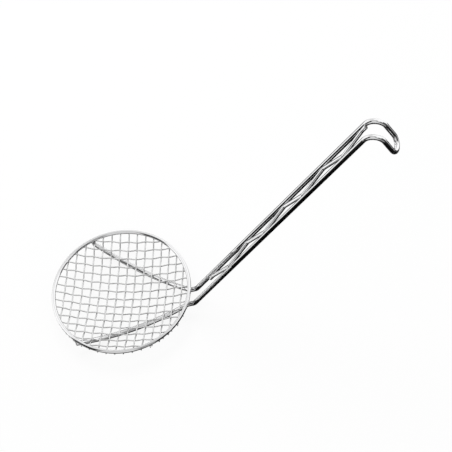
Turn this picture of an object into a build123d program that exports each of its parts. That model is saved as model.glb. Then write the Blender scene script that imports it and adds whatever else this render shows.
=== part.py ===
from build123d import *
import math
import os

# Skimmer: a round bowl of woven wire mesh on a long handle made of two rods with a hook.
# Sizes are in millimetres and degrees. The origin is the centre of the rim, +Z points out of
# the bowl's mouth, and the handle leaves the bowl along +X and rises.

# Wire sizes
rim_wire = 4.0
rod_wire = 5.2
brace_wire = 4.0
mesh_wire = 1.4

# Bowl
rim_outer_diameter = 152.4
bowl_depth = 16.6
crown_share = 0.147
wire_end_inset = 0.3

# Woven mesh
mesh_pitch = 9.45
draw_in_share = 0.0338
mesh_turn = 2.0
cross_shift = 0.5
long_shift = 0.1
crimp_clearance = 0.04
mesh_facets = 8

# Handle
rod_spacing = 17.7
stem_overhang = 7.2
stem_bend_drop = 0.65
stem_bend_radius = 8.0
handle_rise = 58.6
handle_length = 391.6
hook_radius = 10.9
hook_turn = 125.5
hook_tail = 16.2

# Support arms under the bowl
arm_spread = 123.7
arm_corner_radius = 8.0
arm_overrun = 1.0
arm_end_share = 0.1
arm_step = 0.05

# Zigzag brace between the rods
brace_start = 46.0
brace_pitch = 86.8
brace_top_inset = 5.6
brace_end_run = 8.0
brace_bend_radius = 6.0

# Clearance left at each weld and at each place where two pieces touch
weld_gap = 0.05

# Sizes worked out from the ones above
rim_radius = (rim_outer_diameter - rim_wire) / 2
wire_end_radius = rim_outer_diameter / 2 - wire_end_inset
crimp_rise = (mesh_wire + crimp_clearance) / 2
wires_each_side = math.floor(rim_radius / mesh_pitch)
edge_pitch = mesh_pitch * (1 - 3 * draw_in_share)
seat_height = -(rim_wire + mesh_wire) / 2 - weld_gap
arm_stand_off = (mesh_wire + rod_wire) / 2 + weld_gap
stem_reach = rim_radius + stem_overhang
stem_bend_height = seat_height - stem_bend_drop
rod_offset = rod_spacing / 2
brace_top = handle_length - brace_top_inset
brace_waves = math.floor((brace_top - brace_start) / brace_pitch + 1 / 4)


def bowl_steepness(radius):
    """Rise of the mesh's middle surface for each millimetre outward at a plan radius."""
    inside = 1 - min(radius / rim_radius, 1) ** 2
    share = (1 - crown_share) + 2 * crown_share * inside
    return 2 * bowl_depth * share * min(radius, rim_radius) / rim_radius**2


def crimp_height(radius):
    """Height of a crossing wire's centre off the middle surface, more where the wires run steeply."""
    return crimp_rise * math.hypot(1, bowl_steepness(radius) + 4 * crimp_rise / edge_pitch)


def bowl_height(radius):
    """Height of the mesh's middle surface at a plan radius."""
    inside = 1 - min(radius / rim_radius, 1) ** 2
    return seat_height - bowl_depth * ((1 - crown_share) * inside + crown_share * inside**2)


def plan_place(number, shift):
    """Plan distance of a mesh wire from the bowl's middle, drawn in as the bowl was pressed."""
    flat = number * mesh_pitch + shift
    return flat * (1 - draw_in_share * (flat / rim_radius) ** 2)


def rim_zone_height(along, offset, across_shift, parity):
    """Height of a mesh wire under the rim, lower where it still passes under its last crossing."""
    nearest = min(range(-wires_each_side - 1, wires_each_side + 2),
                  key=lambda number: abs(plan_place(number, across_shift) - along))
    place = plan_place(nearest, across_shift)
    crosses = math.hypot(place, offset) < wire_end_radius + mesh_wire / 2 and abs(nearest) <= wires_each_side
    passes_under = (nearest + parity) % 2 == 1
    if not (crosses and passes_under):
        return seat_height
    nearness = max(0, 1 - abs(place - along) / (mesh_pitch / 2))
    return seat_height - 2 * crimp_height(rim_radius) * nearness


def mesh_wire_points(number, shift, across_shift, parity):
    """Bend points of one mesh wire: (distance along it, distance of the wire from the middle, height)."""
    offset = plan_place(number, shift)
    tip = math.sqrt(wire_end_radius**2 - offset**2)
    under_rim = math.sqrt(rim_radius**2 - offset**2)
    points = []
    for across in range(-wires_each_side, wires_each_side + 1):
        place = plan_place(across, across_shift)
        radius = math.hypot(place, offset)
        if radius < wire_end_radius - mesh_wire / 2:
            over = min(bowl_height(radius) + crimp_height(radius), seat_height)
            passes_under = (across + parity) % 2
            points.append((place, offset, over - 2 * crimp_height(radius) * passes_under))
    ends = []
    for end in (-1, 1):
        last = points[0][0] if end < 0 else points[-1][0]
        run = [(end * tip, offset, rim_zone_height(end * tip, offset, across_shift, parity))]
        if under_rim - end * last > mesh_wire:
            run.append((end * under_rim, offset, rim_zone_height(end * under_rim, offset, across_shift, parity)))
        ends.append(run)
    return ends[0] + points + ends[1][::-1]


def mesh_paths():
    """Named centrelines of the mesh wires, before the weave is turned, and the way across each.

    The cross wires lie square to the handle, the long wires beside it.
    """
    paths = {}
    for count, number in enumerate(range(-wires_each_side, wires_each_side + 1), start=1):
        cross = mesh_wire_points(number, cross_shift, long_shift, number)
        cross = [(offset, along, height) for along, offset, height in cross]
        paths[f"mesh_cross_wire_{count:02d}"] = (Polyline(cross), (1, 0, 0))
        long = mesh_wire_points(number, long_shift, cross_shift, number + 1)
        paths[f"mesh_long_wire_{count:02d}"] = (Polyline(long), (0, 1, 0))
    return paths


def mesh_wires(paths):
    """Crimped mesh wires, straight-sided and mitred at each bend."""
    wires = {}
    for name, (path, across) in paths.items():
        plane = Plane(origin=path @ 0, x_dir=across, z_dir=path % 0)
        section = plane * RegularPolygon(mesh_wire / 2, mesh_facets)
        wires[name] = Rot(0, 0, mesh_turn) * sweep(section, path=path, transition=Transition.RIGHT)
    return wires


def rim_ring():
    """Round hoop that carries the edge of the mesh."""
    section = Plane.XZ * Pos(rim_radius, 0) * Circle(rim_wire / 2)
    return revolve(section, axis=Axis.Z)


def handle_frame():
    """Corner where the stems turn up into the handle, the handle's direction, and the hook's side."""
    rise = math.radians(handle_rise)
    corner = Vector(stem_reach, 0, stem_bend_height)
    along = Vector(math.cos(rise), 0, math.sin(rise))
    outward = Vector(math.sin(rise), 0, -math.cos(rise))
    return corner, along, outward


def arm_edges(side, heights):
    """One support arm, its corner under the rim, the stem's first point and the stem's direction."""
    corner_height, middle_height, tip_height = heights
    corner = Vector(math.sqrt(rim_radius**2 - rod_offset**2), side * rod_offset, corner_height)
    stem = (handle_frame()[0] + Vector(0, side * rod_offset, 0) - corner).normalized()
    spread = math.radians(arm_spread)
    end_radius = rim_radius + arm_overrun
    tip = Vector(end_radius * math.cos(spread), side * end_radius * math.sin(spread), tip_height)
    chord = tip - corner
    sag = (corner_height + tip_height) / 2 - middle_height
    fall = 2 * math.atan(2 * sag / chord.length)
    level = chord.normalized()
    down = (Vector(0, 0, -1) + level * level.Z).normalized()
    inward = level * math.cos(fall) + down * math.sin(fall)
    tangent = arm_corner_radius * math.tan(math.radians(inward.get_angle(-stem)) / 2)
    start = corner + stem * tangent
    leave = corner + inward * tangent
    return TangentArc(leave, tip, tangent=inward), TangentArc(start, leave, tangent=-stem), start, stem


def arm_heights(paths):
    """Heights of the arms' corner, middle and cut end, each lowered until both arms clear the mesh."""
    mesh = Compound([Rot(0, 0, mesh_turn) * path for path, _ in paths.values()])
    level = seat_height - arm_stand_off
    heights = [level, level - bowl_depth / 2, level]
    while True:
        touches = []
        for side in (1, -1):
            arm, bend, stem_start, _ = arm_edges(side, heights)
            stem = Line(stem_start, handle_frame()[0] + Vector(0, side * rod_offset, 0))
            for edge in (arm, bend, stem):
                distance, place, _ = edge.distance_to_with_closest_points(mesh)
                run_share = (stem_start.X - place.X) / (stem_start.X - (arm @ 1).X)
                touches.append((distance, run_share))
        distance, run_share = min(touches)
        if distance >= arm_stand_off:
            return heights
        lowered = 0 if run_share < arm_end_share else 2 if run_share > 1 - arm_end_share else 1
        heights[lowered] -= arm_step


def rod_edges(side, heights):
    """One half of the handle wire, from the arm's cut end to the end of the hook."""
    corner, along, outward = handle_frame()
    shift = Vector(0, side * rod_offset, 0)
    arm, bend, stem_start, stem = arm_edges(side, heights)
    tangent = stem_bend_radius * math.tan(math.radians(along.get_angle(stem)) / 2)
    stem_end = corner + shift - stem * tangent
    rod_start = corner + shift + along * tangent
    rod_end = corner + shift + along * handle_length
    turn = math.radians(hook_turn)
    hook_centre = rod_end + outward * hook_radius
    hook_end = hook_centre + (along * math.sin(turn) - outward * math.cos(turn)) * hook_radius
    tail_direction = along * math.cos(turn) + outward * math.sin(turn)
    tail_end = hook_end + tail_direction * hook_tail
    edges = [arm, bend, Line(stem_start, stem_end), TangentArc(stem_end, rod_start, tangent=stem),
             Line(rod_start, rod_end), TangentArc(rod_end, hook_end, tangent=along), Line(hook_end, tail_end)]
    return edges, tail_end, tail_direction


def handle_wire(heights):
    """The one long wire: an arm, a rod, the hook's loop, the other rod and the other arm."""
    left, left_end, tail_direction = rod_edges(1, heights)
    right, right_end, _ = rod_edges(-1, heights)
    loop_tip = (left_end + right_end) * 0.5 + tail_direction * rod_offset
    loop = ThreePointArc(left_end, loop_tip, right_end)
    path = Wire(left + [loop] + right[::-1])
    return sweep(Plane(origin=path @ 0, z_dir=path % 0) * Circle(rod_wire / 2), path=path)


def brace_points():
    """Bend points of the zigzag: both cut ends and the top bend lie along the +Y rod."""
    corner, along, _ = handle_frame()
    reach = rod_offset - rod_wire / 2 - brace_wire / 2 - weld_gap
    marks = [(brace_start - brace_end_run, 1), (brace_start, 1)]
    marks += [(brace_start + brace_pitch * (wave + 0.5), -1) for wave in range(brace_waves)]
    marks += [(brace_start + brace_pitch * (wave + 1), 1) for wave in range(brace_waves - 1)]
    marks += [(brace_top, 1), (brace_top + brace_end_run, 1)]
    marks.sort()
    return [corner + along * distance + Vector(0, side * reach, 0) for distance, side in marks]


def brace():
    """Zigzag wire welded to the rods at each bend."""
    points = brace_points()
    path = FilletPolyline(*points, radius=brace_bend_radius)
    return sweep(Plane(origin=path @ 0, z_dir=path % 0) * Circle(brace_wire / 2), path=path)


def main():
    os.makedirs("parts", exist_ok=True)
    paths = mesh_paths()
    handle = handle_wire(arm_heights(paths))
    pieces = {"rim_ring": rim_ring(), "handle_wire": handle, "brace_wire": brace(), **mesh_wires(paths)}
    for name, piece in pieces.items():
        export_step(piece, f"parts/{name}.step")


main()
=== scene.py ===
"""Wire mesh skimmer: round wires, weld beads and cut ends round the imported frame, and its studio."""

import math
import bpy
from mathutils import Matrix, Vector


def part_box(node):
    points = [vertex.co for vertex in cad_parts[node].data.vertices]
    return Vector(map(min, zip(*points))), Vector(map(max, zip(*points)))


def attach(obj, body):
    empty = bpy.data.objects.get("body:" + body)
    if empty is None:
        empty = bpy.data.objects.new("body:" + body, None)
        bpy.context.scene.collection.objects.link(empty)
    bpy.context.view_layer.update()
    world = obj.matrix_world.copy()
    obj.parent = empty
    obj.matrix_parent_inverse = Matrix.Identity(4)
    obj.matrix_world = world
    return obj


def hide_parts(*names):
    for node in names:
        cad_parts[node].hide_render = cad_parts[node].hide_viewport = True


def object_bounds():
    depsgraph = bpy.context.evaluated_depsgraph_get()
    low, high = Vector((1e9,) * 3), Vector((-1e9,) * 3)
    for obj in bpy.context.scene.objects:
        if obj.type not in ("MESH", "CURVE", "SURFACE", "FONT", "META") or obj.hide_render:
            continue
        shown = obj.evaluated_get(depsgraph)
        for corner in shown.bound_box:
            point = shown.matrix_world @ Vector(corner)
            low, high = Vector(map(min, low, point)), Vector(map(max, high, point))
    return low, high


bl_info = {
    "name": "Wire mesh skimmer",
    "version": (1, 0, 0),
    "blender": (4, 5, 0),
    "location": "3D View > Sidebar > Skimmer",
    "description": "Builds a woven wire skimmer with a braced double-rod handle",
    "category": "Add Mesh",
}

import bmesh
import bpy
from bpy.props import FloatProperty, FloatVectorProperty, IntProperty, PointerProperty
from mathutils import Matrix, Quaternion, Vector, noise

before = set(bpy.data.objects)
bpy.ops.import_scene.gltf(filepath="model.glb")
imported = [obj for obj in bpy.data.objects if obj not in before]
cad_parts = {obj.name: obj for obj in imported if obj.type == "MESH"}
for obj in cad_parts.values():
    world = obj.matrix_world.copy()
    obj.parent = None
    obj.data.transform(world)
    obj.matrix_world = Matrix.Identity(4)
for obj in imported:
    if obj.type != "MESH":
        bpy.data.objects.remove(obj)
cad_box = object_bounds()

BODY = "root"
CROSS_NODES = sorted(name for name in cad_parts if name.startswith("mesh_cross_wire"))
LONG_NODES = sorted(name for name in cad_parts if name.startswith("mesh_long_wire"))
RIM_LOW, RIM_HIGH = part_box("rim_ring")
UP = Vector((0, 0, 1))

# Facets round each wire, and steps along the rim, along a crimp and round a bend
RIM_SIDES = 28
ROD_SIDES = 36
BRACE_SIDES = 28
MESH_SIDES = 12
RIM_STEPS = 288
CRIMP_STEPS = 6
BEND_STEP = math.radians(4)
ARM_STEP = math.radians(1)

# An arc that turns less than this is drawn as a straight run
LEAST_TURN = math.radians(0.01)

# Cut bevels of the thicker wires, as multiples of a mesh wire's
ROD_BEVEL_SHARE = 2
BRACE_BEVEL_SHARE = 1.5

# A ring of the frame's wire ends where the next vertex is this share of the wire further along
RING_GAP_SHARE = 1 / 3

# Unevenness of the weld beads
BEAD_SWELL = 0.10
BEAD_LUMPS = 1.7
BEAD_SHIFT = 0.37
BEAD_SUBDIVISIONS = 3


# Settings


def length(name, description, default):
    """A length setting in metres."""
    return FloatProperty(name=name, description=description, default=default, unit="LENGTH",
                         subtype="DISTANCE", precision=5)


def angle(name, description, degrees):
    """An angle setting, given in degrees."""
    return FloatProperty(name=name, description=description, default=math.radians(degrees),
                         unit="ROTATION", subtype="ANGLE")


def share(name, description, default):
    """A plain share between 0 and 1."""
    return FloatProperty(name=name, description=description, default=default, min=0, max=1,
                         subtype="FACTOR")


def amount(name, description, default, unit="NONE"):
    """A plain amount of 0 or more."""
    return FloatProperty(name=name, description=description, default=default, min=0, unit=unit)


def point(name, description, default):
    """A place in the scene, in metres."""
    return FloatVectorProperty(name=name, description=description, default=default, size=3,
                               unit="LENGTH", subtype="TRANSLATION")


def half_sizes(name, description, default):
    """Half sizes of a bead along its three axes, in metres."""
    return FloatVectorProperty(name=name, description=description, default=default, size=3,
                               unit="LENGTH", subtype="XYZ_LENGTH", precision=5)


def colour(name, description, default):
    """A linear colour setting."""
    return FloatVectorProperty(name=name, description=description, default=default, size=3, min=0,
                               max=1, subtype="COLOR")


class BowlSettings(bpy.types.PropertyGroup):
    rim_wire: length("Rim wire", "Diameter of the rim's wire", RIM_HIGH.z - RIM_LOW.z)
    rim_outer: length("Rim width", "Outer diameter of the rim", RIM_HIGH.x - RIM_LOW.x)
    mesh_wire: length("Mesh wire", "Diameter of the woven wires", 0.0014)
    mesh_turn: angle("Mesh turn", "How far the weave is turned from the handle's line", 2.0)
    cut_bevel: length("Cut bevel", "Rounding left at a mesh wire's cut end", 0.00018)


class HandleSettings(bpy.types.PropertyGroup):
    rod_wire: length("Rod wire", "Diameter of the handle's wire", 0.0052)
    rod_spacing: length("Rod spacing", "Distance between the two rods' centres", 0.0177)
    stem_reach: length("Stem reach", "Distance of the stems' bend from the bowl's centre", 0.0814)
    stem_bend_height: length("Stem bend height", "Height of the stems' bend from the rim", -0.0034)
    bend_radius: length("Bend radius", "Centreline radius of the bends", 0.008)
    rise: angle("Rise", "Angle of the handle above the rim's plane", 58.6)
    rod_length: length("Rod length", "From the stems' bend to the start of the hook", 0.3916)
    hook_radius: length("Hook radius", "Centreline radius of the hook", 0.0109)
    hook_turn: angle("Hook turn", "How far the hook turns over", 125.5)
    hook_tail: length("Hook tail", "Straight length after the hook", 0.0162)
    arm_corner_height: length("Arm corner height", "Height of the arms' corner from the rim",
                              -0.00685)
    arm_tip_height: length("Arm tip height", "Height of the arms' cut ends from the rim", -0.00715)
    arm_spread: angle("Arm spread", "Angle of each arm's cut end from the handle", 123.7)
    arm_overrun: length("Arm overrun", "How far an arm's end passes the rim's centreline", 0.001)
    arm_fall: angle("Arm fall", "How steeply an arm starts down under the bowl", 20.2716)
    brace_wire: length("Brace wire", "Diameter of the zigzag brace", 0.004)
    brace_start: length("Brace start", "Distance of the brace's first bend up the rods", 0.046)
    brace_pitch: length("Brace pitch", "Length of one whole zigzag", 0.0868)
    brace_waves: IntProperty(name="Brace waves", description="Number of zigzags", default=4, min=1)
    brace_top: length("Brace top", "Distance of the brace's last bend up the rods", 0.386)
    brace_end_run: length("Brace end run", "Straight welded run at each end of the brace", 0.008)
    brace_bend_radius: length("Brace bend radius", "Centreline radius of the brace's bends", 0.006)
    weld_gap: length("Weld gap", "Gap bridged by a weld", 0.00005)


class WeldSettings(bpy.types.PropertyGroup):
    mesh_bead: half_sizes("Mesh bead", "Bead at a mesh wire's end: out, round the rim and up",
                          (0.0012, 0.0011, 0.0006))
    mesh_bead_outset: length("Mesh bead outset", "How far the bead is outside the rim's centreline",
                             0.0002)
    mesh_bead_drop: length("Mesh bead drop", "How far the bead's middle is under the rim", 0.0001)
    brace_bead: half_sizes("Brace bead", "Bead at a brace's bend: along, across and off the rod",
                           (0.003, 0.0006, 0.0013))
    brace_end_bead: half_sizes("Brace end bead", "Bead at a brace's cut end", (0.0022, 0.0006, 0.0013))
    arm_bead_width: length("Arm bead width", "Half the width of the bead on an arm, outward", 0.0019)
    arm_bead_length: length("Arm bead length", "Half its length round the rim", 0.0023)
    arm_bead_bite: length("Arm bead bite", "How far the bead runs into both wires", 0.0006)


class FinishSettings(bpy.types.PropertyGroup):
    plating: colour("Plating", "Colour of the bright plating on the rods and rim", (0.90, 0.90, 0.905))
    weave: colour("Weave", "Colour of the plating on the woven wires", (0.86, 0.86, 0.86))
    weld: colour("Weld", "Colour of the weld beads", (0.55, 0.55, 0.555))
    cut: colour("Cut", "Colour of a wire's cut face", (0.42, 0.42, 0.42))
    plating_roughness: share("Plating roughness", "Roughness of the bright plating", 0.018)
    plating_streak: share("Plating streak", "Roughness of the bright plating's drawn lines", 0.015)
    plating_haze: share("Plating haze", "Roughness of the bright plating's hazy spots", 0.015)
    weave_roughness: share("Weave roughness", "Roughness of the woven wires", 0.12)
    weave_streak: share("Weave streak", "Roughness of the woven wires' drawn lines", 0.06)
    weave_haze: share("Weave haze", "Roughness of the woven wires' hazy spots", 0.08)
    weld_roughness: share("Weld roughness", "Roughness of the weld beads", 0.3)
    weld_grain: amount("Weld grain", "Lumps for each metre of weld metal", 1400.0)
    weld_depth: length("Weld depth", "Depth of the weld metal's lumps", 0.0001)
    cut_roughness: share("Cut roughness", "Roughness of a cut face", 0.38)
    cut_grain: amount("Cut grain", "Lumps for each metre of a cut face", 2600.0)
    cut_depth: length("Cut depth", "Depth of a cut face's lumps", 0.00006)
    draw_line_length: length("Draw line length", "Length of the fine lines left by wire drawing", 0.02)
    draw_line_width: length("Draw line width", "Width of the fine lines left by wire drawing", 0.00025)


class StageSettings(bpy.types.PropertyGroup):
    camera_place: point("Camera place", "Where the camera stands", (0.48379, -1.09523, 2.01414))
    camera_aim: point("Camera aim", "Point that the camera looks at", (0.10918, 0.07352, 0.02261))
    camera_roll: angle("Camera roll", "Turn of the camera about its line of sight", -13.0)
    camera_view: angle("Camera view", "Width of the camera's view", 11.95)
    floor_width: length("Floor width", "Width of the pale floor", 8.0)
    floor_drop: length("Floor drop", "Gap between the object's lowest point and the floor", 0.0005)
    floor_tone: share("Floor tone", "How white the floor and the backdrop are", 1.0)
    paper_tone: share("Paper tone", "Tone of the floor where its shadow shows", 0.9)
    shadow_share: share("Shadow share", "How much of the object's shadow the floor keeps", 0.12)
    sky_light: amount("Sky light", "Brightness of the surroundings that lights the object", 0.75)
    tent_radius: length("Tent radius", "Distance of the light tent that the metal reflects", 5.0)
    tent_light: amount("Tent light", "Brightness of the light tent", 1.08)
    lamp_place: point("Lamp place", "Where the soft box hangs", (-0.3, 0.7, 1.5))
    lamp_aim: point("Lamp aim", "Point that the soft box faces", (0.1, 0, 0.1))
    lamp_width: length("Lamp width", "Width of the soft box", 1.2)
    lamp_depth: length("Lamp depth", "Depth of the soft box", 0.9)
    lamp_power: amount("Lamp power", "Power of the soft box", 12.0, "POWER")


SETTINGS = {
    "skimmer_bowl": BowlSettings,
    "skimmer_handle": HandleSettings,
    "skimmer_welds": WeldSettings,
    "skimmer_finish": FinishSettings,
    "skimmer_stage": StageSettings,
}


# Dark gaps in the light tent, as seen from the object. Each has, in degrees, its azimuth from the
# handle's direction, elevation, turn, half width, half height and edge softness, and its depth:
# 1 is black and 0 is no gap.
TENT_GAPS = {
    "left_flag": (214, 52, -60, 20, 10, 4, 0.95),
    "front_slot": (223, 19, 0, 18, 31, 4, 0.96),
    "right_gap": (355, -10, 0, 17, 42, 4, 0.98),
    "right_core": (326, 8, 0, 13, 42, 5, 0.95),
    "right_soft": (303, 10, 0, 11, 60, 6, 0.65),
    "front_gap": (225, -42, -44, 34, 12, 3, 0.94),
    "front_near": (203, -25, -40, 18, 11, 3, 0.92),
    "front_low": (262, -35, 0, 36, 21, 4, 0.95),
    "low_right": (0, -60, 0, 50, 36, 4, 0.96),
    "under": (0, -90, 0, 27, 27, 5, 0.94),
    "through": (120, -45, 0, 29, 28, 4, 0.97),
    "left_soft": (120, 42, 0, 14, 20, 8, 0.38),
    "lid": (0, 90, 0, 20, 20, 8, 0.48),
    "front_wall": (270, 15, 0, 24, 50, 10, 0.36),
}
TENT_SUBDIVISIONS = 4

SENSOR_WIDTH = 36.0
CAMERA_NEAR, CAMERA_FAR = 0.1, 20.0


# Paths


def arc_points(start, direction, end, step=BEND_STEP):
    """Points after start on the arc that leaves it along direction and reaches end."""
    chord = end - start
    direction = direction.normalized()
    half_turn = direction.angle(chord)
    if half_turn < LEAST_TURN:
        return [end]
    axis = direction.cross(chord).normalized()
    radius = chord.length / 2 / math.sin(half_turn)
    centre = start + axis.cross(direction) * radius
    count = max(2, math.ceil(2 * half_turn / step))
    return [centre + Quaternion(axis, 2 * half_turn * k / count) @ (start - centre)
            for k in range(1, count + 1)]


def rounded_points(corners, radius):
    """Points along straight runs whose corners are rounded to a radius."""
    points = [corners[0]]
    for before, corner, after in zip(corners, corners[1:], corners[2:]):
        coming, going = (corner - before).normalized(), (after - corner).normalized()
        tangent = radius * math.tan(coming.angle(going) / 2)
        points.append(corner - coming * tangent)
        points += arc_points(corner - coming * tangent, coming, corner + going * tangent)
    return points + [corners[-1]]


def smooth_points(knots):
    """Points on a smooth curve through the knots of a crimped wire."""
    padded = [knots[0] * 2 - knots[1], *knots, knots[-1] * 2 - knots[-2]]
    points = []
    for a, b, c, d in zip(padded, padded[1:], padded[2:], padded[3:]):
        leave = (c - a) * ((c - b).length / (c - a).length)
        arrive = (d - b) * ((c - b).length / (d - b).length)
        for k in range(CRIMP_STEPS):
            t = k / CRIMP_STEPS
            points.append(b * (2 * t**3 - 3 * t**2 + 1) + leave * (t**3 - 2 * t**2 + t)
                          + c * (3 * t**2 - 2 * t**3) + arrive * (t**3 - t**2))
    return points + [knots[-1]]


def crimp_knots(node, lengthwise, wire, turn):
    """Centreline knots of a woven wire, read from the rings of its straight-sided frame node."""
    back = Matrix.Rotation(-turn, 3, "Z")
    run = 0 if lengthwise else 1
    places = sorted((back @ v.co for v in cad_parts[node].data.vertices), key=lambda p: p[run])
    rings, last = [], None
    for place in places:
        if last is None or place[run] - last > wire * RING_GAP_SHARE:
            rings.append([])
        rings[-1].append(place)
        last = place[run]
    knots = []
    for ring in rings:
        lows, highs = ([limit(p[k] for p in ring) for k in range(3)] for limit in (min, max))
        knots.append(back.inverted() @ ((Vector(lows) + Vector(highs)) / 2))
    return knots


def woven_knots(bowl):
    """Each woven wire's frame node with its centreline's knots, the cross wires first."""
    for nodes, lengthwise in ((CROSS_NODES, False), (LONG_NODES, True)):
        for node in nodes:
            yield node, crimp_knots(node, lengthwise, bowl.mesh_wire, bowl.mesh_turn)


# Meshes


def wire_rings(points, radius, closed, cut_bevel):
    """Rings of a wire: place, direction, side, distance along and radius, with bevelled ends."""
    count = len(points)
    tangents = []
    for k in range(count):
        before = points[k - 1] if k or closed else points[0]
        after = points[(k + 1) % count] if k < count - 1 or closed else points[-1]
        tangents.append((after - before).normalized())
    side = tangents[0].orthogonal().normalized()
    rings, distance = [], 0.0
    for k, (place, tangent) in enumerate(zip(points, tangents)):
        if k:
            side = tangents[k - 1].rotation_difference(tangent) @ side
            distance += (place - points[k - 1]).length
        side = (side - tangent * side.dot(tangent)).normalized()
        rings.append((place, tangent, side, distance, radius))
    if cut_bevel:
        for index, inward in ((0, cut_bevel), (-1, -cut_bevel)):
            place, tangent, side, at, _ = rings[index]
            rings[index] = (place, tangent, side, at, radius - cut_bevel)
            rings.insert(1 if index == 0 else len(rings) - 1,
                         (place + tangent * inward, tangent, side, at + inward, radius))
    return rings


def wire_object(name, points, radius, sides, materials, closed=False, cut_bevel=0.0):
    """A round wire along the points, with UVs in metres round and along it.

    An open wire has two cut faces, in the second material where there is one.
    """
    rings = wire_rings(points, radius, closed, cut_bevel)
    mesh = bmesh.new()
    uv = mesh.loops.layers.uv.new("along")
    loops = []
    for place, tangent, side, _, wide in rings:
        other = tangent.cross(side)
        loops.append([mesh.verts.new(place + (side * math.cos(math.tau * s / sides)
                                              + other * math.sin(math.tau * s / sides)) * wide)
                      for s in range(sides)])
    around = math.tau * radius / sides
    pairs = list(zip(range(len(rings)), range(1, len(rings))))
    if closed:
        pairs.append((len(rings) - 1, 0))
    for a, b in pairs:
        near = rings[a][3]
        far = rings[b][3] if b else near + (points[0] - points[-1]).length
        for s in range(sides):
            n = (s + 1) % sides
            face = mesh.faces.new((loops[a][s], loops[a][n], loops[b][n], loops[b][s]))
            face.smooth = True
            for loop, (turn, at) in zip(face.loops, ((s, near), (s + 1, near), (s + 1, far), (s, far))):
                loop[uv].uv = (turn * around, at)
    if not closed:
        for ring in (loops[0][::-1], loops[-1]):
            face = mesh.faces.new(ring)
            face.material_index = len(materials) - 1
            for s, loop in enumerate(face.loops):
                loop[uv].uv = (s * around, 0)
    return finish_object(name, mesh, materials)


def finish_object(name, mesh, materials):
    """Turns a bmesh into an object in the scene."""
    bmesh.ops.recalc_face_normals(mesh, faces=mesh.faces)
    data = bpy.data.meshes.new(name)
    mesh.to_mesh(data)
    mesh.free()
    for material in materials:
        data.materials.append(material)
    piece = bpy.data.objects.new(name, data)
    bpy.context.scene.collection.objects.link(piece)
    return piece


def bead(mesh, place, axes, sizes, seed):
    """Adds one uneven weld bead to a bmesh: an egg shape along three axes."""
    made = bmesh.ops.create_icosphere(mesh, subdivisions=BEAD_SUBDIVISIONS, radius=1.0)["verts"]
    turn = Matrix(axes).transposed()
    shift = Vector((seed, seed * BEAD_SHIFT, 0))
    for vertex in made:
        swell = 1 + BEAD_SWELL * noise.noise(vertex.co * BEAD_LUMPS + shift)
        vertex.co = place + turn @ Vector(vertex.co[k] * sizes[k] * swell for k in range(3))
    for face in {face for vertex in made for face in vertex.link_faces}:
        face.smooth = True


# Shader maths


class Flow:
    """Wraps one output socket so that shader maths reads as Python."""

    def __init__(self, tree, socket):
        self.tree, self.socket = tree, socket

    def maths(self, operation, *values):
        """Result of a Math node on the values."""
        return add_node(self.tree, "ShaderNodeMath", {"operation": operation},
                        dict(enumerate(values)))["Value"]

    def __add__(self, other):
        return self.maths("ADD", self, other)

    def __radd__(self, other):
        return self.maths("ADD", other, self)

    def __sub__(self, other):
        return self.maths("SUBTRACT", self, other)

    def __rsub__(self, other):
        return self.maths("SUBTRACT", other, self)

    def __mul__(self, other):
        return self.maths("MULTIPLY", self, other)

    def __rmul__(self, other):
        return self.maths("MULTIPLY", other, self)

    def clamped(self, low=0.0, high=1.0):
        """Kept between low and high."""
        return self.maths("MINIMUM", self.maths("MAXIMUM", self, low), high)

    def between(self, low, high):
        """0 below low, 1 above high, smooth in the middle."""
        return add_node(self.tree, "ShaderNodeMapRange", {"interpolation_type": "SMOOTHSTEP"},
                        Value=self, From_Min=low, From_Max=high)["Result"]


class Made:
    """A node's outputs by name or number, each as a Flow."""

    def __init__(self, tree, node):
        self.tree, self.node = tree, node

    def __getitem__(self, output):
        return Flow(self.tree, self.node.outputs[output])


def feed(tree, socket, value):
    """Sets a socket to a value or links it."""
    if isinstance(value, Flow):
        tree.links.new(value.socket, socket)
    elif socket.type == "RGBA" and len(value) == 3:
        socket.default_value = (*value, 1.0)
    else:
        socket.default_value = value


def add_node(tree, kind, settings=None, numbered=None, **named):
    """Adds a node with its settings first, then its sockets by number and by name.

    An underscore in a name stands for a space.
    """
    node = tree.nodes.new(kind)
    for name, value in (settings or {}).items():
        setattr(node, name, value)
    for number, value in (numbered or {}).items():
        feed(tree, node.inputs[number], value)
    for name, value in named.items():
        feed(tree, node.inputs[name.replace("_", " ")], value)
    return Made(tree, node)


def mix_colours(tree, weight, low, high):
    """Blend of two colours: the weight is high's share. Mix has its colours at sockets 6, 7 and 2."""
    return add_node(tree, "ShaderNodeMix", {"data_type": "RGBA"}, {0: weight, 6: low, 7: high})[2]


def mix_shaders(tree, weight, low, high):
    """Blend of two shaders: the weight is high's share."""
    return add_node(tree, "ShaderNodeMixShader", None, {0: weight, 1: low, 2: high})["Shader"]


def along_axis(tree, vector, axis):
    """Length of a vector along an axis."""
    return add_node(tree, "ShaderNodeVectorMath", {"operation": "DOT_PRODUCT"},
                    {0: vector, 1: axis})["Value"]


def noise_value(tree, place, scale, detail, roughness, dimensions="3D"):
    """Value of a noise texture at a place."""
    return add_node(tree, "ShaderNodeTexNoise", {"noise_dimensions": dimensions}, Vector=place,
                    Scale=scale, Detail=detail, Roughness=roughness)["Fac"]


def surface_place(tree):
    """Place of the shaded point."""
    return add_node(tree, "ShaderNodeNewGeometry")["Position"]


def new_material(name):
    """An empty node material and its node tree."""
    material = bpy.data.materials.get(name) or bpy.data.materials.new(name)
    material.use_nodes = True
    material.node_tree.nodes.clear()
    return material, material.node_tree


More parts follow.
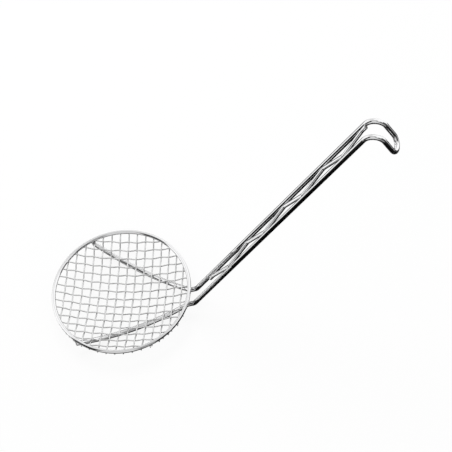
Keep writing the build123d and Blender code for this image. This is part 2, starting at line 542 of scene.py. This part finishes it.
def metal_surface(tree, tint, roughness, height, strength, distance):
    """Metal with a bump, led to the material's output."""
    bump = add_node(tree, "ShaderNodeBump", Strength=strength, Distance=distance,
                    Height=height)["Normal"]
    shader = add_node(tree, "ShaderNodeBsdfPrincipled", Base_Color=tint, Metallic=1.0,
                      Roughness=roughness, Normal=bump)["BSDF"]
    add_node(tree, "ShaderNodeOutputMaterial", Surface=shader)


# Finishes

# Noise scales are per metre. A span is the range of a noise over which a mark fades in.
DRAW_LINE_DETAIL = 3.0
DRAW_LINE_ROUGHNESS = 0.55
HAZE_GRAIN = 38.0
HAZE_DETAIL = 4.0
HAZE_ROUGHNESS = 0.6
HAZE_SPAN = (0.5, 0.72)
PIT_GRAIN = 900.0
PIT_SPAN = (0.0, 0.12)

# Where plating is darker, how much darker, and how deep its lines and pits are
STAIN_SPAN = (0.52, 0.8)
STAIN_WEIGHT = 0.6
LINE_SPAN = (0.6, 0.8)
LINE_WEIGHT = 0.25
STAIN_SHADE = 0.86
LINE_HEIGHT = 0.6
PIT_HEIGHT = 0.4
PLATING_BUMP = 0.03
PLATING_DEPTH = 0.00001
PLATING_LEAST_ROUGHNESS = 0.02

# Weld metal and cut faces
LUMP_DETAIL = 5.0
LUMP_ROUGHNESS = 0.65
LUMP_SPAN = (0.35, 0.7)
LUMP_SHADE = 0.7
LUMP_BUMP = 0.4
LUMP_DULLNESS = 0.3
LUMP_LEAST_ROUGHNESS = 0.05

# Middle value of a noise
NOISE_MIDDLE = 0.5


def shaded(base, shade):
    """A colour made darker."""
    return tuple(channel * shade for channel in base)


def drawn_lines(tree, finish):
    """Noise stretched along the wire, like the fine lines that drawing leaves."""
    uv = add_node(tree, "ShaderNodeUVMap", {"uv_map": "along"})["UV"]
    stretch = (1 / finish.draw_line_width, 1 / finish.draw_line_length, 1.0)
    stretched = add_node(tree, "ShaderNodeMapping", {"vector_type": "POINT"}, Vector=uv,
                         Scale=stretch)["Vector"]
    return noise_value(tree, stretched, 1.0, DRAW_LINE_DETAIL, DRAW_LINE_ROUGHNESS, "2D")


def wire_finish(name, base, roughness, streak, haze, finish):
    """Bright plated wire: fine drawn lines, slight haze and tiny pits."""
    _, tree = new_material(name)
    place = surface_place(tree)
    lines = drawn_lines(tree, finish)
    cloud = noise_value(tree, place, HAZE_GRAIN, HAZE_DETAIL, HAZE_ROUGHNESS)
    pits = add_node(tree, "ShaderNodeTexVoronoi", {"feature": "DISTANCE_TO_EDGE"}, Vector=place,
                    Scale=PIT_GRAIN)["Distance"]
    dull = (lines - NOISE_MIDDLE) * streak + cloud.between(*HAZE_SPAN) * haze + roughness
    stain = (cloud.between(*STAIN_SPAN) * STAIN_WEIGHT
             + lines.between(*LINE_SPAN) * LINE_WEIGHT).clamped()
    height = lines * LINE_HEIGHT + pits.between(*PIT_SPAN) * PIT_HEIGHT
    metal_surface(tree, mix_colours(tree, stain, base, shaded(base, STAIN_SHADE)),
                  dull.clamped(PLATING_LEAST_ROUGHNESS), height, PLATING_BUMP, PLATING_DEPTH)


def rough_finish(name, base, roughness, grain, depth):
    """Weld metal or a cut face: uneven, grey and dull."""
    _, tree = new_material(name)
    lumps = noise_value(tree, surface_place(tree), grain, LUMP_DETAIL, LUMP_ROUGHNESS)
    tint = mix_colours(tree, lumps.between(*LUMP_SPAN), shaded(base, LUMP_SHADE), base)
    dull = (lumps - NOISE_MIDDLE) * LUMP_DULLNESS + roughness
    metal_surface(tree, tint, dull.clamped(LUMP_LEAST_ROUGHNESS), lumps, LUMP_BUMP, depth)


def make_materials(finish):
    """All the metal finishes."""
    wire_finish("bright_plating", finish.plating, finish.plating_roughness, finish.plating_streak,
                finish.plating_haze, finish)
    wire_finish("woven_plating", finish.weave, finish.weave_roughness, finish.weave_streak,
                finish.weave_haze, finish)
    rough_finish("weld_metal", finish.weld, finish.weld_roughness, finish.weld_grain,
                 finish.weld_depth)
    rough_finish("cut_face", finish.cut, finish.cut_roughness, finish.cut_grain, finish.cut_depth)


def metal(*names):
    """The named finishes."""
    return [bpy.data.materials[name] for name in names]


# Layout of the rim, the handle and the brace


def rim_radius(bowl):
    """Radius of the rim's centreline."""
    return (bowl.rim_outer - bowl.rim_wire) / 2


def handle_line(handle):
    """Stems' bend, the handle's direction, and the hook's side."""
    rise = handle.rise
    return (Vector((handle.stem_reach, 0, handle.stem_bend_height)),
            Vector((math.cos(rise), 0, math.sin(rise))),
            Vector((math.sin(rise), 0, -math.cos(rise))))


def half_handle(handle, bowl, side):
    """Points from one arm's cut end to the middle of the hook's closed end."""
    corner, along, outward = handle_line(handle)
    rim = rim_radius(bowl)
    offset = side * handle.rod_spacing / 2
    shift = Vector((0, offset, 0))
    start = Vector((math.sqrt(rim**2 - offset**2), offset, handle.arm_corner_height))
    reach = rim + handle.arm_overrun
    tip = Vector((reach * math.cos(handle.arm_spread), side * reach * math.sin(handle.arm_spread),
                  handle.arm_tip_height))
    stem = (corner + shift - start).normalized()
    level = Vector((tip.x - start.x, tip.y - start.y, 0)).normalized()
    inward = level * math.cos(handle.arm_fall) - UP * math.sin(handle.arm_fall)
    trim = handle.bend_radius * math.tan(inward.angle(-stem) / 2)
    leave = start + inward * trim
    arm = [leave] + arc_points(leave, inward, tip, ARM_STEP)
    bend = [start + stem * trim] + arc_points(start + stem * trim, -stem, leave)
    trim = handle.bend_radius * math.tan(along.angle(stem) / 2)
    low = corner + shift - stem * trim
    rod_start = corner + shift + along * trim
    rod_end = corner + shift + along * handle.rod_length
    turn = handle.hook_turn
    centre = rod_end + outward * handle.hook_radius
    hook_end = centre + (along * math.sin(turn) - outward * math.cos(turn)) * handle.hook_radius
    tail = along * math.cos(turn) + outward * math.sin(turn)
    tail_end = hook_end + tail * handle.hook_tail
    loop_tip = tail_end - shift + tail * abs(offset)
    points = arm[::-1] + bend[::-1][1:] + [low] + arc_points(low, stem, rod_start) + [rod_end]
    points += arc_points(rod_end, along, hook_end) + [tail_end]
    return points + arc_points(tail_end, tail, loop_tip)


def brace_marks(handle):
    """Distances up the rods and sides of the brace's corners."""
    half = handle.brace_pitch / 2
    marks = [(handle.brace_start - handle.brace_end_run, 1), (handle.brace_start, 1)]
    marks += [(handle.brace_start + half * k, -1 if k % 2 else 1)
              for k in range(1, 2 * handle.brace_waves)]
    return marks + [(handle.brace_top, 1), (handle.brace_top + handle.brace_end_run, 1)]


def brace_places(handle, reach):
    """Places of the brace's marks, each at a reach from the handle's middle line."""
    corner, along, _ = handle_line(handle)
    return [corner + along * far + Vector((0, side * reach, 0)) for far, side in brace_marks(handle)]


# Welds


def rim_axes(outward):
    """Outward, round the rim, and up."""
    return outward, Vector((-outward.y, outward.x, 0)), UP


def mesh_end_welds(bowl, welds):
    """A small bead under the rim at each mesh wire's end."""
    out = rim_radius(bowl) + welds.mesh_bead_outset
    down = bowl.rim_wire / 2 + welds.mesh_bead_drop
    spots = []
    for _, knots in woven_knots(bowl):
        for end in (knots[0], knots[-1]):
            outward = Vector((end.x, end.y, 0)).normalized()
            spots.append((outward * out - UP * down, rim_axes(outward), welds.mesh_bead))
    return spots


def brace_welds(handle, welds):
    """A flat bead between the brace and a rod at each bend and cut end."""
    _, along, outward = handle_line(handle)
    reach = (handle.rod_spacing - handle.rod_wire - handle.weld_gap) / 2
    places = brace_places(handle, reach)
    beads = [welds.brace_end_bead] + [welds.brace_bead] * (len(places) - 2) + [welds.brace_end_bead]
    axes = (along, Vector((0, 1, 0)), outward)
    return [(place, axes, sizes) for place, sizes in zip(places, beads)]


def arm_welds(handle, bowl, welds):
    """A bead under the rim at each arm's cut end and each stem."""
    rim = rim_radius(bowl)
    under = -bowl.rim_wire / 2
    stem_turn = math.asin(handle.rod_spacing / 2 / rim)
    spots = []
    for side in (1, -1):
        for turn, height in ((handle.arm_spread, handle.arm_tip_height),
                             (stem_turn, handle.arm_corner_height)):
            outward = Vector((math.cos(turn), side * math.sin(turn), 0))
            middle = (under + height + handle.rod_wire / 2) / 2
            sizes = (welds.arm_bead_width, welds.arm_bead_length,
                     abs(middle - under) + welds.arm_bead_bite)
            spots.append((outward * rim + UP * middle, rim_axes(outward), sizes))
    return spots


# Studio


def seen_directly(tree):
    """1 for the camera, in reflections and through glass, and 0 for light that falls on a surface."""
    rays = add_node(tree, "ShaderNodeLightPath")
    return (rays["Is Camera Ray"] + rays["Is Glossy Ray"] + rays["Is Transmission Ray"]).clamped()


def build_floor(stage):
    """A plain pale floor that keeps a little of the object's shadow."""
    half = stage.floor_width / 2
    height = cad_box[0].z - stage.floor_drop
    mesh = bmesh.new()
    mesh.faces.new([mesh.verts.new((x * half, y * half, height))
                    for x, y in ((-1, -1), (1, -1), (1, 1), (-1, 1))])
    material, tree = new_material("pale_floor")
    paper = add_node(tree, "ShaderNodeBsdfDiffuse", Color=(stage.paper_tone,) * 3)["BSDF"]
    white = add_node(tree, "ShaderNodeEmission", Color=(stage.floor_tone,) * 3,
                     Strength=1.0)["Emission"]
    plain = mix_shaders(tree, seen_directly(tree), paper, white)
    add_node(tree, "ShaderNodeOutputMaterial",
             Surface=mix_shaders(tree, stage.shadow_share, plain, paper))
    floor = finish_object("pale_floor", mesh, [material])
    floor.visible_glossy = False


def gap_mask(tree, place, gap):
    """A dark gap's depth inside it and 0 outside, with soft edges."""
    azimuth, elevation, turn, half_width, half_height, softness, depth = gap
    facing = (Matrix.Rotation(math.radians(azimuth), 3, "Z")
              @ Matrix.Rotation(math.radians(-elevation), 3, "Y")
              @ Matrix.Rotation(math.radians(turn), 3, "X"))
    ahead, aside, above = (along_axis(tree, place, facing.col[k]) for k in range(3))
    level = ahead.maths("SQRT", ahead * ahead + aside * aside)
    mask = depth
    for off, half in ((ahead.maths("ARCTAN2", aside, ahead), half_width),
                      (ahead.maths("ARCTAN2", above, level), half_height)):
        edge = (math.radians(half - softness), math.radians(half + softness))
        mask = mask * (1 - off.maths("ABSOLUTE", off).between(*edge))
    return mask


def build_tent(stage):
    """A light tent that only reflections see: white, with dark gaps."""
    mesh = bmesh.new()
    bmesh.ops.create_icosphere(mesh, subdivisions=TENT_SUBDIVISIONS, radius=stage.tent_radius)
    material, tree = new_material("light_tent")
    place = surface_place(tree)
    tone = stage.tent_light
    for gap in TENT_GAPS.values():
        tone = tone * (1 - gap_mask(tree, place, gap))
    glow = add_node(tree, "ShaderNodeEmission", Color=(1.0, 1.0, 1.0), Strength=tone)["Emission"]
    add_node(tree, "ShaderNodeOutputMaterial", Surface=glow)
    tent = finish_object("light_tent", mesh, [material])
    tent.visible_camera = tent.visible_diffuse = tent.visible_transmission = False
    tent.visible_shadow = tent.visible_volume_scatter = False


def build_world(stage):
    """White surroundings, a little dimmer as the object's light."""
    world = bpy.data.worlds.new("studio_white")
    bpy.context.scene.world = world
    world.use_nodes = True
    tree = world.node_tree
    tree.nodes.clear()
    seen = seen_directly(tree)
    strength = seen * stage.floor_tone + (1 - seen) * stage.sky_light
    sky = add_node(tree, "ShaderNodeBackground", Color=(1.0, 1.0, 1.0),
                   Strength=strength)["Background"]
    add_node(tree, "ShaderNodeOutputWorld", Surface=sky)


def build_lamp(stage):
    """One soft box overhead."""
    data = bpy.data.lights.new("soft_box", "AREA")
    data.shape = "RECTANGLE"
    data.size, data.size_y, data.energy = stage.lamp_width, stage.lamp_depth, stage.lamp_power
    lamp = bpy.data.objects.new("soft_box", data)
    lamp.location = stage.lamp_place
    facing = Vector(stage.lamp_aim) - lamp.location
    lamp.rotation_euler = facing.to_track_quat("-Z", "Y").to_euler()
    lamp.visible_glossy = False
    bpy.context.scene.collection.objects.link(lamp)


def build_camera(stage):
    """The camera at the photograph's viewing angle."""
    data = bpy.data.cameras.new("camera")
    data.sensor_fit, data.sensor_width = "HORIZONTAL", SENSOR_WIDTH
    data.lens = data.sensor_width / 2 / math.tan(stage.camera_view / 2)
    data.clip_start, data.clip_end = CAMERA_NEAR, CAMERA_FAR
    camera = bpy.data.objects.new("camera", data)
    place, aim = Vector(stage.camera_place), Vector(stage.camera_aim)
    camera.location = place
    camera.rotation_mode = "QUATERNION"
    camera.rotation_quaternion = ((aim - place).to_track_quat("-Z", "Y")
                                  @ Quaternion((0, 0, 1), stage.camera_roll))
    bpy.context.scene.collection.objects.link(camera)
    bpy.context.scene.camera = camera


# Operators


class SkimmerOperator(bpy.types.Operator):
    """Common options of every skimmer operator."""

    bl_options = {"REGISTER", "UNDO"}

    @classmethod
    def poll(cls, context):
        return context.scene is not None


class SKIMMER_OT_materials(SkimmerOperator):
    """Make the plated, welded and cut metal finishes."""

    bl_idname = "skimmer.materials"
    bl_label = "Metal finishes"

    def execute(self, context):
        make_materials(context.scene.skimmer_finish)
        return {"FINISHED"}


class SKIMMER_OT_rim(SkimmerOperator):
    """Build the rim's round hoop."""

    bl_idname = "skimmer.rim"
    bl_label = "Rim"

    def execute(self, context):
        bowl = context.scene.skimmer_bowl
        radius = rim_radius(bowl)
        turns = [math.tau * k / RIM_STEPS for k in range(RIM_STEPS)]
        points = [Vector((radius * math.cos(turn), radius * math.sin(turn), 0)) for turn in turns]
        rim = wire_object("rim_hoop", points, bowl.rim_wire / 2, RIM_SIDES, metal("bright_plating"),
                          closed=True)
        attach(rim, BODY)
        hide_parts("rim_ring")
        return {"FINISHED"}


class SKIMMER_OT_weave(SkimmerOperator):
    """Weave the bowl: every crimped wire across and along the handle's line."""

    bl_idname = "skimmer.weave"
    bl_label = "Woven bowl"

    def execute(self, context):
        bowl = context.scene.skimmer_bowl
        for node, knots in woven_knots(bowl):
            if len(knots) < 4:
                raise ValueError(f"{node} has too few bends to weave")
            wire = wire_object(node.replace("wire", "crimp"), smooth_points(knots),
                               bowl.mesh_wire / 2, MESH_SIDES, metal("woven_plating", "cut_face"),
                               cut_bevel=bowl.cut_bevel)
            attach(wire, BODY)
            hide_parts(node)
        return {"FINISHED"}


class SKIMMER_OT_handle(SkimmerOperator):
    """Bend the handle's one long wire."""

    bl_idname = "skimmer.handle"
    bl_label = "Handle wire"

    def execute(self, context):
        handle, bowl = context.scene.skimmer_handle, context.scene.skimmer_bowl
        left, right = half_handle(handle, bowl, 1), half_handle(handle, bowl, -1)
        wire = wire_object("handle_rods", left + right[::-1][1:], handle.rod_wire / 2, ROD_SIDES,
                           metal("bright_plating", "cut_face"),
                           cut_bevel=ROD_BEVEL_SHARE * bowl.cut_bevel)
        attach(wire, BODY)
        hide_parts("handle_wire")
        return {"FINISHED"}


class SKIMMER_OT_brace(SkimmerOperator):
    """Bend the zigzag brace between the rods."""

    bl_idname = "skimmer.brace"
    bl_label = "Zigzag brace"

    def execute(self, context):
        handle, bowl = context.scene.skimmer_handle, context.scene.skimmer_bowl
        reach = (handle.rod_spacing - handle.rod_wire - handle.brace_wire) / 2 - handle.weld_gap
        points = rounded_points(brace_places(handle, reach), handle.brace_bend_radius)
        wire = wire_object("brace_zigzag", points, handle.brace_wire / 2, BRACE_SIDES,
                           metal("bright_plating", "cut_face"),
                           cut_bevel=BRACE_BEVEL_SHARE * bowl.cut_bevel)
        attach(wire, BODY)
        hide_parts("brace_wire")
        return {"FINISHED"}


class SKIMMER_OT_welds(SkimmerOperator):
    """Lay the weld beads: mesh to rim, brace to rods, and arms and stems to the rim."""

    bl_idname = "skimmer.welds"
    bl_label = "Weld beads"

    def execute(self, context):
        scene = context.scene
        handle, bowl, welds = scene.skimmer_handle, scene.skimmer_bowl, scene.skimmer_welds
        for name, spots in (("rim_weld_beads", mesh_end_welds(bowl, welds)),
                            ("brace_weld_beads", brace_welds(handle, welds)),
                            ("arm_weld_beads", arm_welds(handle, bowl, welds))):
            mesh = bmesh.new()
            for seed, (place, axes, sizes) in enumerate(spots):
                bead(mesh, place, axes, sizes, seed)
            beads = finish_object(name, mesh, metal("weld_metal"))
            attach(beads, BODY)
        return {"FINISHED"}


class SKIMMER_OT_stage(SkimmerOperator):
    """Set the floor, the studio light and the camera."""

    bl_idname = "skimmer.stage"
    bl_label = "Studio"

    def execute(self, context):
        stage = context.scene.skimmer_stage
        build_floor(stage)
        build_tent(stage)
        build_world(stage)
        build_lamp(stage)
        build_camera(stage)
        context.scene.view_settings.view_transform = "Standard"
        return {"FINISHED"}


class SKIMMER_PT_panel(bpy.types.Panel):
    """Lists the settings and the build steps in the sidebar."""

    bl_idname = "SKIMMER_PT_panel"
    bl_label = "Skimmer"
    bl_space_type = "VIEW_3D"
    bl_region_type = "UI"
    bl_category = "Skimmer"

    def draw(self, context):
        for name, group in SETTINGS.items():
            box = self.layout.box()
            for key in group.__annotations__:
                box.prop(getattr(context.scene, name), key)
        for operator in OPERATORS:
            self.layout.operator(operator.bl_idname)


OPERATORS = (SKIMMER_OT_materials, SKIMMER_OT_rim, SKIMMER_OT_weave, SKIMMER_OT_handle,
             SKIMMER_OT_brace, SKIMMER_OT_welds, SKIMMER_OT_stage)


def register():
    """Makes the settings, operators and panel known."""
    for group in (*SETTINGS.values(), *OPERATORS, SKIMMER_PT_panel):
        bpy.utils.register_class(group)
    for name, group in SETTINGS.items():
        setattr(bpy.types.Scene, name, PointerProperty(type=group))


def unregister():
    """Takes them away again."""
    for name in SETTINGS:
        delattr(bpy.types.Scene, name)
    for group in (SKIMMER_PT_panel, *reversed(OPERATORS), *SETTINGS.values()):
        bpy.utils.unregister_class(group)


def main():
    """Builds the whole skimmer and its studio."""
    register()
    bpy.ops.skimmer.materials()
    bpy.ops.skimmer.rim()
    bpy.ops.skimmer.weave()
    bpy.ops.skimmer.handle()
    bpy.ops.skimmer.brace()
    bpy.ops.skimmer.welds()
    bpy.ops.skimmer.stage()


if __name__ == "__main__":
    main()
